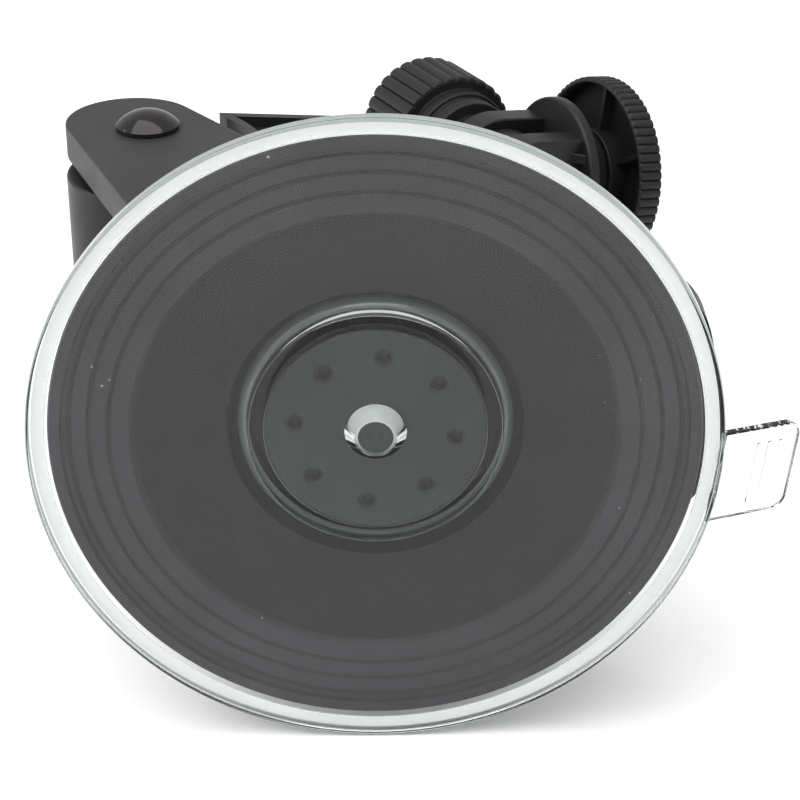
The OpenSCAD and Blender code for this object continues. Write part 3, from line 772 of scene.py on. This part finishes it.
def shell_profile():
    points = [(WELL_R, SHELL_BACK), (WELL_R, 5.6), (RECESS_R - 0.3, 3.25, 0.25),
              (RECESS_R, ANNULUS_Y, 0.25)]
    for r in GROOVES:
        points += [(r - GROOVE_W, ANNULUS_Y, 0.08), (r, ANNULUS_Y + GROOVE_DEPTH, 0.1),
                   (r + GROOVE_W, ANNULUS_Y, 0.08)]
    points += [(HOUSING_R - 1.4, ANNULUS_Y, 0.15), (HOUSING_R - 1.3, RIM_FRONT, 0.1),
               (HOUSING_R - 0.2, RIM_FRONT, 0.2), (HOUSING_R, 2.4, 0.2), (HOUSING_R, RIM_BACK, 0.4),
               (HOUSING_R - 1.4, RIM_BACK, 0.2), (HOUSING_R - 1.8, 4.5, 0.2), (RECESS_R, 5.3, 1.5),
               (TOWER_R - 1, SHELL_BACK, 0.5), (WELL_R, SHELL_BACK)]
    return rounded(points, 3)[:-1]


def housing_ribs():
    shape = [(TOWER_R - 1, 6.5), (RECESS_R, 4.6), (HOUSING_R - 1.6, 4.2),
             (HOUSING_R - 1.6, RIM_BACK), (TOWER_R - 1, RIB_TOP)]
    ribs = []
    for i in range(RIBS):
        rib = slab(shape, -RIB_T / 2, RIB_T / 2, 0.2)
        turn = Matrix.Rotation((i + 0.5) * TAU / RIBS, 4, "Z")
        ribs.append(turned(rib, turn @ UPRIGHT))
    return joined(ribs)


def screw_places():
    return [Matrix.Translation((sx * SCREW_X, sz * SCREW_Z, 0))
            for sx in (-1, 1) for sz in (-1, 1)]


def stem_bore(low, high):
    hole = rod(STEM_R + 0.05, low, high, 96)
    return common(hole, slab(rounded_box(12, 2 * STEM_FLAT + 0.1, 0.1), low - 1, high + 1))


def housing():
    body = lathe(shell_profile(), 256)
    body = union(body, foot(6.2, TOWER_TOP, 0.3), housing_ribs())
    tools = [rod(WELL_R, 0, WELL_FLOOR, 144), rod(SEAT_R, 0, SEAT_Y, 96), stem_bore(8, 14)]
    tools += [turned(rod(SCREW_HEAD_R, 0, SCREW_SEAT, 32), place) for place in screw_places()]
    return cut(body, *tools)


piece(housing(), "housing", CUP, HOUSING, "mount", ["base_housing"])

# Bracket: flange, two ears and the web between them
FLANGE_TOP = 14.6
EAR_IN = 9.8
EAR_R = 7.8
PIVOT_XY = Vector((pivot.x / MM, pivot.y / MM))
EAR_CENTRE = PIVOT_XY + Vector((-2.3, 3))
LEFT_EDGE = math.radians(201.7)
RIGHT_EDGE = math.radians(36.4)
WEB_T = 3.0
WEB_TOP = 27.0
PAST_EARS = 16
NUT_R = 4.04
NUT_T = 3.2
NUT_POCKET = 1.6


def ear_edge(a):
    return EAR_CENTRE + EAR_R * Vector((math.cos(a), math.sin(a)))


def edge_foot(a, y):
    """Where an ear's straight edge meets the height y."""
    p = ear_edge(a)
    run = (p.y - y) / math.cos(a)
    return Vector((p.x + run * math.sin(a), y))


def bracket():
    left = math.degrees(LEFT_EDGE)
    right = math.degrees(RIGHT_EDGE)
    ear = [tuple(edge_foot(LEFT_EDGE, FLANGE_TOP - 1)), (FOOT_X[1], FLANGE_TOP - 1)]
    ear += arc(EAR_CENTRE.x, EAR_CENTRE.y, EAR_R, right, left, 40)
    body = turned(foot(TOWER_TOP, FLANGE_TOP, 0.3), CUP)
    ears = [slab(ear, EAR_IN, EAR_TOP, 0.35), slab(ear, -EAR_TOP, -EAR_IN, 0.35)]
    low, high = edge_foot(LEFT_EDGE, FLANGE_TOP - 0.6), edge_foot(LEFT_EDGE, WEB_TOP)
    shift = Vector((WEB_T, 0))
    inner = Vector((0.02, 0))
    web = slab([tuple(low + inner), tuple(low + shift), tuple(high + shift),
                tuple(high + inner)], -EAR_IN - 0.5, EAR_IN + 0.5, 0.2)
    body = union(body, *ears, web)
    place = Matrix.Translation((PIVOT_XY.x, PIVOT_XY.y, 0))
    tools = [turned(stem_bore(11, PAST_EARS), CUP),
             turned(rod(PIN_R, -PAST_EARS, PAST_EARS, 48), place),
             turned(hexagon(NUT_R + 0.06, -PAST_EARS, -EAR_TOP + NUT_POCKET), place)]
    return cut(body, *tools)


piece(bracket(), "bracket", WORLD, BRACKET, "mount", ["clevis_bracket"])

# Arm pivot: domed pin, nut and washers
DOME_R, DOME_H = 3.8, 1.65
DOME_BAND = 0.55
PIN_TAIL = 2.2
SPACER_BORE, SPACER_R = 2.1, 7.2


def dome_pin():
    sphere = (DOME_R ** 2 + DOME_H ** 2) / (2 * DOME_H)
    start = math.asin(DOME_R / sphere)
    top = EAR_TOP + DOME_BAND + DOME_H
    dome = [(sphere * math.sin(start * i / 20), top - sphere
             + sphere * math.cos(start * i / 20)) for i in range(21)]
    low = -EAR_TOP - PIN_TAIL
    return lathe([(0, low), (PIN_R - 0.3, low), (PIN_R, low + 0.3), (PIN_R, EAR_TOP)]
                 + [(DOME_R - 0.15, EAR_TOP), (DOME_R - 0.05, EAR_TOP + 0.1),
                    (DOME_R - 0.05, EAR_TOP + DOME_BAND - 0.05)] + dome[::-1], 128)


piece(dome_pin(), "pivot_pin_domed", PIVOT, PIN_BLACK, "mount", ["pivot_pin"])


def nut(r, hole, low, high):
    return cut(hex_head(r, low, high), rod(hole, low - 1, high + 1, 48))


piece(nut(NUT_R, PIN_R - 0.05, -EAR_TOP + NUT_POCKET - NUT_T, -EAR_TOP + NUT_POCKET),
      "pivot_lock_nut", PIVOT, STEEL, "mount", ["pivot_nut"])
piece(joined([ring(SPACER_BORE, SPACER_R, 9.05, 9.79), ring(SPACER_BORE, SPACER_R, -9.79, -9.05)]),
      "pivot_spacers", PIVOT, NYLON, "mount", ["pivot_washers"])

# Swing arm
BARREL_R = 9.9
BARREL_H = 9.0
ARM_LEN = math.hypot(hinge.x - pivot.x, hinge.y - pivot.y) / MM
HINGE_DROP = (pivot.z - hinge.z) / MM
ARM_W = 5.6
ARM_END_W = 4.2
NECK = ARM_LEN - 8.6
TONGUE_R = 5.7
TONGUE_T = 2.75
BOLT_R = 2.5
TALL_START = 11.5
ARM_CLEAR_R = 12.0
ARM_UPPER = [(TALL_START, 12.4), (27, 9.6), (38.5, TONGUE_R - HINGE_DROP),
             (ARM_LEN, TONGUE_R - HINGE_DROP)]
ARM_LOWER = [(ARM_LEN, -TONGUE_R - HINGE_DROP), (38.5, -TONGUE_R - HINGE_DROP), (27, -9.6),
             (TALL_START, -12.4)]
POCKET_WALL = 1.5
POCKET_DEPTH = 1.3


def arm_plan(inset):
    start, end = TALL_START - 3 + inset, NECK - 3 - inset / 2
    wide, narrow, tip = ARM_W - inset, ARM_END_W - inset, NECK - inset
    return [(start, -wide), (end, -narrow), (tip, -TONGUE_T), (tip, TONGUE_T), (end, narrow),
            (start, wide)]


def arm_side(inset):
    return ([(x, z - inset) for x, z in ARM_UPPER] + [(x, z + inset) for x, z in ARM_LOWER])


def arm():
    drop = Matrix.Translation((0, 0, -HINGE_DROP))
    body = turned(slab(arm_side(0), -FAR, FAR), UPRIGHT)
    body = common(body, slab(arm_plan(0), -FAR, FAR))
    body = cut(body, rod(ARM_CLEAR_R, -FAR, FAR, 96))
    body = bevel(body, 0.45, 3, 20)
    pocket = slab(arm_plan(POCKET_WALL), -FAR, FAR)
    core = turned(slab(arm_side(POCKET_DEPTH), -FAR, FAR), UPRIGHT)
    pocket = cut(pocket, core, rod(ARM_CLEAR_R + POCKET_WALL, -FAR, FAR, 96))
    body = cut(body, pocket)
    block = turned(slab(rounded_box(TALL_START + 1, 2 * BARREL_H, 0.4,
                                    ((TALL_START + 1) / 2, 0)), -ARM_W, ARM_W, 0.3), UPRIGHT)
    neck = [(NECK - 4, -TONGUE_R)] + arc(ARM_LEN, 0, TONGUE_R, -90, 90, 32)
    neck = slab(neck + [(NECK - 4, TONGUE_R)], -TONGUE_T, TONGUE_T, 0.3)
    neck = turned(neck, drop @ UPRIGHT)
    body = union(rod(BARREL_R, -BARREL_H, BARREL_H, 128, 0.4), block, body, neck)
    across = turned(rod(BOLT_R + 0.05, -10, 10, 48), drop @ Matrix.Translation((ARM_LEN, 0, 0)) @ UPRIGHT)
    return cut(body, rod(PIN_R + 0.05, -FAR, FAR, 48), across)


piece(arm(), "arm", ARM, ARM_BLACK, "arm", ["swing_arm"])

# Fork head, its bolt and washer
FORK_IN, FORK_OUT = 2.85, 6.65
FORK_H = 6.9
FLANGE_R = 10.2
FLANGE_S, FLANGE_END = 6.0, 7.6
BOSS_END = 11.7
STUD_BOSS_R = 5.6
BOLT_HEAD_R = 4.62
BOLT_HEAD_T = 3.5
BOLT_POCKET = 2.3
BOLT_END = 21.0
GUSSET = 1.6
GUSSET_Z = 4.6
GUSSET_T = 1.2
STUD_ROOT = 6.6
STUD_ROOT_R = 2.6


def fork_head():
    plate = [(FLANGE_S + 0.3, -FORK_H), (FLANGE_S + 0.3, FORK_H)]
    plate += arc(0, 0, FORK_H, 90, 270, 40)
    plates = [turned(slab(plate, -FORK_OUT, -FORK_IN, 0.3), UPRIGHT),
              turned(slab(plate, FORK_IN, FORK_OUT, 0.3), UPRIGHT)]
    gussets = []
    for side in (-1, 1):
        for z in (-GUSSET_Z, GUSSET_Z):
            shape = [(FLANGE_S + 0.3, side * (FORK_OUT - 0.2)),
                     (FLANGE_S - GUSSET, side * (FORK_OUT - 0.2)),
                     (FLANGE_S + 0.3, side * (FORK_OUT + GUSSET))]
            gussets.append(slab(shape, z - GUSSET_T / 2, z + GUSSET_T / 2, 0.15))
    flange = turned(rod(FLANGE_R, FLANGE_S, FLANGE_END, 128, 0.35), ALONG_X)
    boss = turned(rod(STUD_BOSS_R, FLANGE_S, BOSS_END, 96, 0.25), ALONG_X)
    body = union(flange, boss, *plates, *gussets)
    tools = [turned(rod(BOLT_R, -12, 12, 64), TOWARDS_KNOB),
             turned(hexagon(BOLT_HEAD_R, -FORK_OUT - 1, BOLT_POCKET - FORK_OUT), TOWARDS_KNOB),
             turned(rod(STUD_ROOT_R, STUD_ROOT, 20, 48), ALONG_X)]
    return cut(body, *tools)


piece(fork_head(), "fork", HEAD, ARM_BLACK, "head", ["fork_head"])


def bolt():
    seat = BOLT_POCKET - FORK_OUT
    head = hex_head(BOLT_HEAD_R - 0.02, seat - BOLT_HEAD_T, seat)
    return union(head, rod(BOLT_R, seat - 1, BOLT_END, 64, 0.3))


piece(bolt(), "tilt_bolt", KNOB_AXIS, STEEL, "head", ["hinge_bolt"])
piece(ring(2.56, 5.5, 6.71, 7.69, 0.15), "tilt_washer", KNOB_AXIS, STEEL, "head",
      ["hinge_washer"])

# Hinge knob with convex scallops and stepped neck
KNOB_R = 8.9
KNOB_FLUTES = 30
KNOB_START, KNOB_END = 15.05, 25.2
KNOB_BORE_END = 21.4
KNOB_NUT = (15.8, 19.8)
KNOB_FLUTE_DEPTH = 0.42
KNOB_FACE_DIP = 0.35
NECK_START = 7.8
NECK_R, COLLAR_R, STEP_R = 5, 6.65, 7.2
COLLAR_START, STEP_START = 10.5, 13


def knob():
    neck = [(0, NECK_START), (NECK_R, NECK_START, 0.2), (NECK_R, COLLAR_START, 0.1),
            (COLLAR_R, COLLAR_START, 0.25), (COLLAR_R, STEP_START, 0.15),
            (STEP_R, STEP_START, 0.2), (STEP_R, KNOB_START, 0.15), (KNOB_R - 0.75, KNOB_START)]
    profile = [(r, z, 0) for r, z in rounded(neck)]
    for share, back, z in ((1, 0.5, 0.0), (1, 0.18, 0.12), (1, 0.0, 0.4)):
        profile.append((KNOB_R - back, KNOB_START + z, share))
    for share, back, z in ((1, 0.0, 0.7), (0.9, 0.12, 0.3), (0.7, 0.4, 0.08), (0.3, 0.8, 0.0)):
        profile.append((KNOB_R - back, KNOB_END - z, share))
    dip = KNOB_END - KNOB_FACE_DIP
    face = [(KNOB_R - 1.2, KNOB_END), (KNOB_R - 1.6, dip, 0.2), (3.2, dip, 0.3),
            (2.9, KNOB_END, 0.2), (0, KNOB_END)]
    profile += [(r, z, 0) for r, z in rounded(face)]
    body = lathe(profile, KNOB_FLUTES * 12, KNOB_FLUTES, KNOB_FLUTE_DEPTH)
    return cut(body, rod(BOLT_R + 0.05, 4, KNOB_BORE_END, 64), hexagon(BOLT_HEAD_R, *KNOB_NUT))


piece(knob(), "tilt_knob", KNOB_AXIS, KNOB_BLACK, "knob", ["hinge_knob"])
piece(nut(BOLT_HEAD_R - 0.01, BOLT_R + 0.05, *KNOB_NUT), "knob_insert_nut", KNOB_AXIS, BRASS, "knob",
      ["knob_nut"])

# Camera stud, lock wheel, its nut and pad
STUD_R = 3.175
STUD_PITCH = 1.27
STUD_END = 21.4
STUD_COLLAR = (4.2, 7.9, 10.3)
THREAD_DEPTH = 0.5
WHEEL_R = 12.7
WHEEL_FLUTES = 66
WHEEL_START, WHEEL_END = 12.15, 15.5
WHEEL_HUB_R = 6.0
WHEEL_RECESS_R = 11.9
WHEEL_RECESS = 2.3
WHEEL_RIBS = 6
WHEEL_RIB_LOW = 0.7
WHEEL_RIB_T = 0.6
WHEEL_FLUTE_DEPTH = 0.34
WHEEL_NUT_R = 4.7
PAD_END = WHEEL_END + 1


def stud():
    shank = union(rod(STUD_ROOT_R, STUD_ROOT, PAD_END + 0.5, 64), hexagon(*STUD_COLLAR))
    return union(shank, thread(STUD_R, THREAD_DEPTH, STUD_PITCH, PAD_END + 0.25, STUD_END))


piece(stud(), "camera_screw", HEAD_AXIS, STEEL, "head", ["camera_stud"])


def wheel():
    rim = [(WHEEL_RECESS_R, WHEEL_START + WHEEL_RECESS, 0),
           (WHEEL_RECESS_R + 0.05, WHEEL_START + 0.15, 0),
           (WHEEL_RECESS_R + 0.15, WHEEL_START, 0), (WHEEL_R - 0.45, WHEEL_START, 0)]
    for share, back, z in ((0.6, 0.3, 0.04), (0.9, 0.08, 0.14), (1, 0, 0.35)):
        rim.append((WHEEL_R - back, WHEEL_START + z, share))
    for share, back, z in ((1, 0, 0.35), (0.9, 0.08, 0.14), (0.6, 0.3, 0.04), (0, 0.6, 0)):
        rim.append((WHEEL_R - back, WHEEL_END - z, share))
    centre = [(WHEEL_HUB_R, WHEEL_END, 0), (WHEEL_HUB_R, WHEEL_START + WHEEL_RECESS, 0)]
    body = lathe(rim + centre, WHEEL_FLUTES * 8, WHEEL_FLUTES, WHEEL_FLUTE_DEPTH)
    ribs = []
    half = WHEEL_RIB_T / 2
    for i in range(WHEEL_RIBS):
        rib = slab([(WHEEL_HUB_R - 0.5, -half), (WHEEL_RECESS_R + 0.4, -half),
                    (WHEEL_RECESS_R + 0.4, half), (WHEEL_HUB_R - 0.5, half)],
                   WHEEL_START + WHEEL_RIB_LOW, WHEEL_START + WHEEL_RECESS + 0.5, 0.1)
        ribs.append(turned(rib, Matrix.Rotation(i * TAU / WHEEL_RIBS, 4, "Z")))
    hub = rod(WHEEL_HUB_R, WHEEL_START - 0.3, WHEEL_END, 96, 0.2)
    body = union(body, hub, joined(ribs))
    return cut(body, hexagon(WHEEL_NUT_R, 10, FAR))


piece(wheel(), "lock_wheel_rim", HEAD_AXIS, KNOB_BLACK, "wheel", ["lock_wheel"])
piece(nut(WHEEL_NUT_R - 0.01, STUD_ROOT_R + 0.05, WHEEL_START - 0.28, WHEEL_END),
      "wheel_insert_nut", HEAD_AXIS, BRASS, "wheel", ["wheel_nut"])
piece(ring(3.4, 9, WHEEL_END + 0.01, PAD_END, 0.2), "wheel_pad_ring", HEAD_AXIS, RUBBER, "wheel",
      ["wheel_pad"])

# Lock lever
HANDLE_CENTRE = Vector((-6.6, -41.9))
HANDLE_R = 68.0
HANDLE_T = 3.4
HANDLE_ROOT = 5.4
HANDLE_SWEEP = (82, 46)
CHEEK_IN, CHEEK_OUT = 4.75, 9.3
PADDLE_START, PADDLE_FLARE, PADDLE_W = 13.5, 3.0, 13.2
PADDLE_REACH, PADDLE_CORNER = 35.3, 5.5
CAM_H = 6.95
LEVER_RANGE = math.radians(JOINTS["lever_open"]["range_deg"][1])
CAM_SLOPE = JOINTS["puller_slide"]["range_m"][1] / MM / LEVER_RANGE
CAM_PAST_END = 0.14    # radians of cam beyond the lever's range


def cam_point(turn):
    """A point of the cam's outline: its height falls evenly as the lever opens."""
    height = CAM_H - CAM_SLOPE * turn
    a = -math.pi / 2 - turn
    return (height * math.cos(a) - CAM_SLOPE * math.sin(a),
            height * math.sin(a) + CAM_SLOPE * math.cos(a))


def paddle_outline():
    z = PADDLE_W - PADDLE_CORNER
    reach = PADDLE_REACH - PADDLE_CORNER
    x = math.sqrt(reach ** 2 - z ** 2)
    end = math.degrees(math.atan2(z, x))
    half = arc(x, -z, PADDLE_CORNER, -90, -end, 8)
    half += arc(0, 0, PADDLE_REACH, -end, 0, 12)[1:]
    half = [(HANDLE_ROOT, -CHEEK_OUT), (PADDLE_START, -CHEEK_OUT),
            (PADDLE_START + PADDLE_FLARE, -PADDLE_W)] + half
    return half + [(x, -y) for x, y in reversed(half[:-1])]


def lever():
    inner = HANDLE_R - HANDLE_T
    cx, cy = HANDLE_CENTRE
    start, end = HANDLE_SWEEP
    band = arc(cx, cy, HANDLE_R, start, end, 60) + arc(cx, cy, inner, end, start, 60)
    band = slab(band, -PADDLE_W - 1, PADDLE_W + 1)
    handle = common(band, turned(slab(paddle_outline(), 0, 60), CUP))
    handle = bevel(handle, 0.5, 3, 40)
    cheeks = []
    cam = [cam_point((LEVER_RANGE + CAM_PAST_END) * i / 40) for i in range(41)]
    outline = [(7, -CAM_H), (PADDLE_START, -3.2), (PADDLE_START, 0.5)]
    outline += arc(0, 0, STEM_R, 84, 200, 16) + cam[::-1]
    place = Matrix.Translation((0, PIN_Y, 0))
    for side in (-CHEEK_OUT, CHEEK_IN):
        cheek = slab(outline, side, side + CHEEK_OUT - CHEEK_IN, 0.25)
        cheeks.append(turned(cheek, place))
    body = union(handle, *cheeks)
    return cut(body, turned(rod(PIN_R, -12, 12, 64), place))


piece(lever(), "lever_handle", WORLD, LEVER_BLACK, "lever", ["lock_lever"])

# CAD nodes that stay as they are and only get materials
for node, material in (("housing_screws", PIN_BLACK), ("cam_washer", STEEL), ("lever_pin", STEEL),
                       ("return_spring", SPRING_STEEL)):
    mesh = frame["nodes"][node].data
    mesh.materials.clear()
    mesh.materials.append(material)

# Floor, light and camera --------------------------------------------------


def studio_floor():
    bm = bmesh.new()
    bmesh.ops.create_grid(bm, x_segments=1, y_segments=1, size=4)
    floor = to_object(bm)
    floor.name = "studio_floor"
    floor.location.z = cad_low.z
    m = Nodes("studio_floor")
    m.join(m.ramp(m.noise(3, 2), 0.3, 0.7, (0.9, 0.9, 0.9), (0.92, 0.92, 0.92)),
           m.shader.inputs["Base Color"])
    m.shader.inputs["Roughness"].default_value = 0.9
    m.shader.inputs["Specular IOR Level"].default_value = 0.1
    floor.data.materials.append(m.material)


def area_light(name, place, target, size, power):
    light = bpy.data.lights.new(name, "AREA")
    light.shape = "RECTANGLE"
    light.size, light.size_y = size
    light.energy = power
    obj = bpy.data.objects.new(name, light)
    bpy.context.scene.collection.objects.link(obj)
    obj.location = place
    aim = Vector(target) - Vector(place)
    obj.rotation_euler = aim.to_track_quat("-Z", "Y").to_euler()


studio_floor()
area_light("key_light", (-0.1, -0.2, 0.85), (0, 0.02, 0), (1.1, 1.1), 9)
area_light("left_light", (-0.7, -0.05, 0.3), (0, 0.03, 0), (0.6, 0.5), 2.5)
world = bpy.data.worlds.new("studio")
world.use_nodes = True
background = world.node_tree.nodes["Background"]
background.inputs["Color"].default_value = (1, 1, 1, 1)
background.inputs["Strength"].default_value = 0.75
bpy.context.scene.world = world
bpy.context.scene.view_settings.view_transform = "Standard"

camera = bpy.data.objects.new("camera", bpy.data.cameras.new("camera"))
camera.data.lens = 99
camera.data.sensor_width = 36
camera.data.clip_start = 0.005
camera.location = (0, -0.1928, 0.1060)
camera.rotation_euler = (math.radians(62.5), 0, math.radians(-0.72))
bpy.context.scene.collection.objects.link(camera)
bpy.context.scene.camera = camera

bpy.context.view_layer.update()
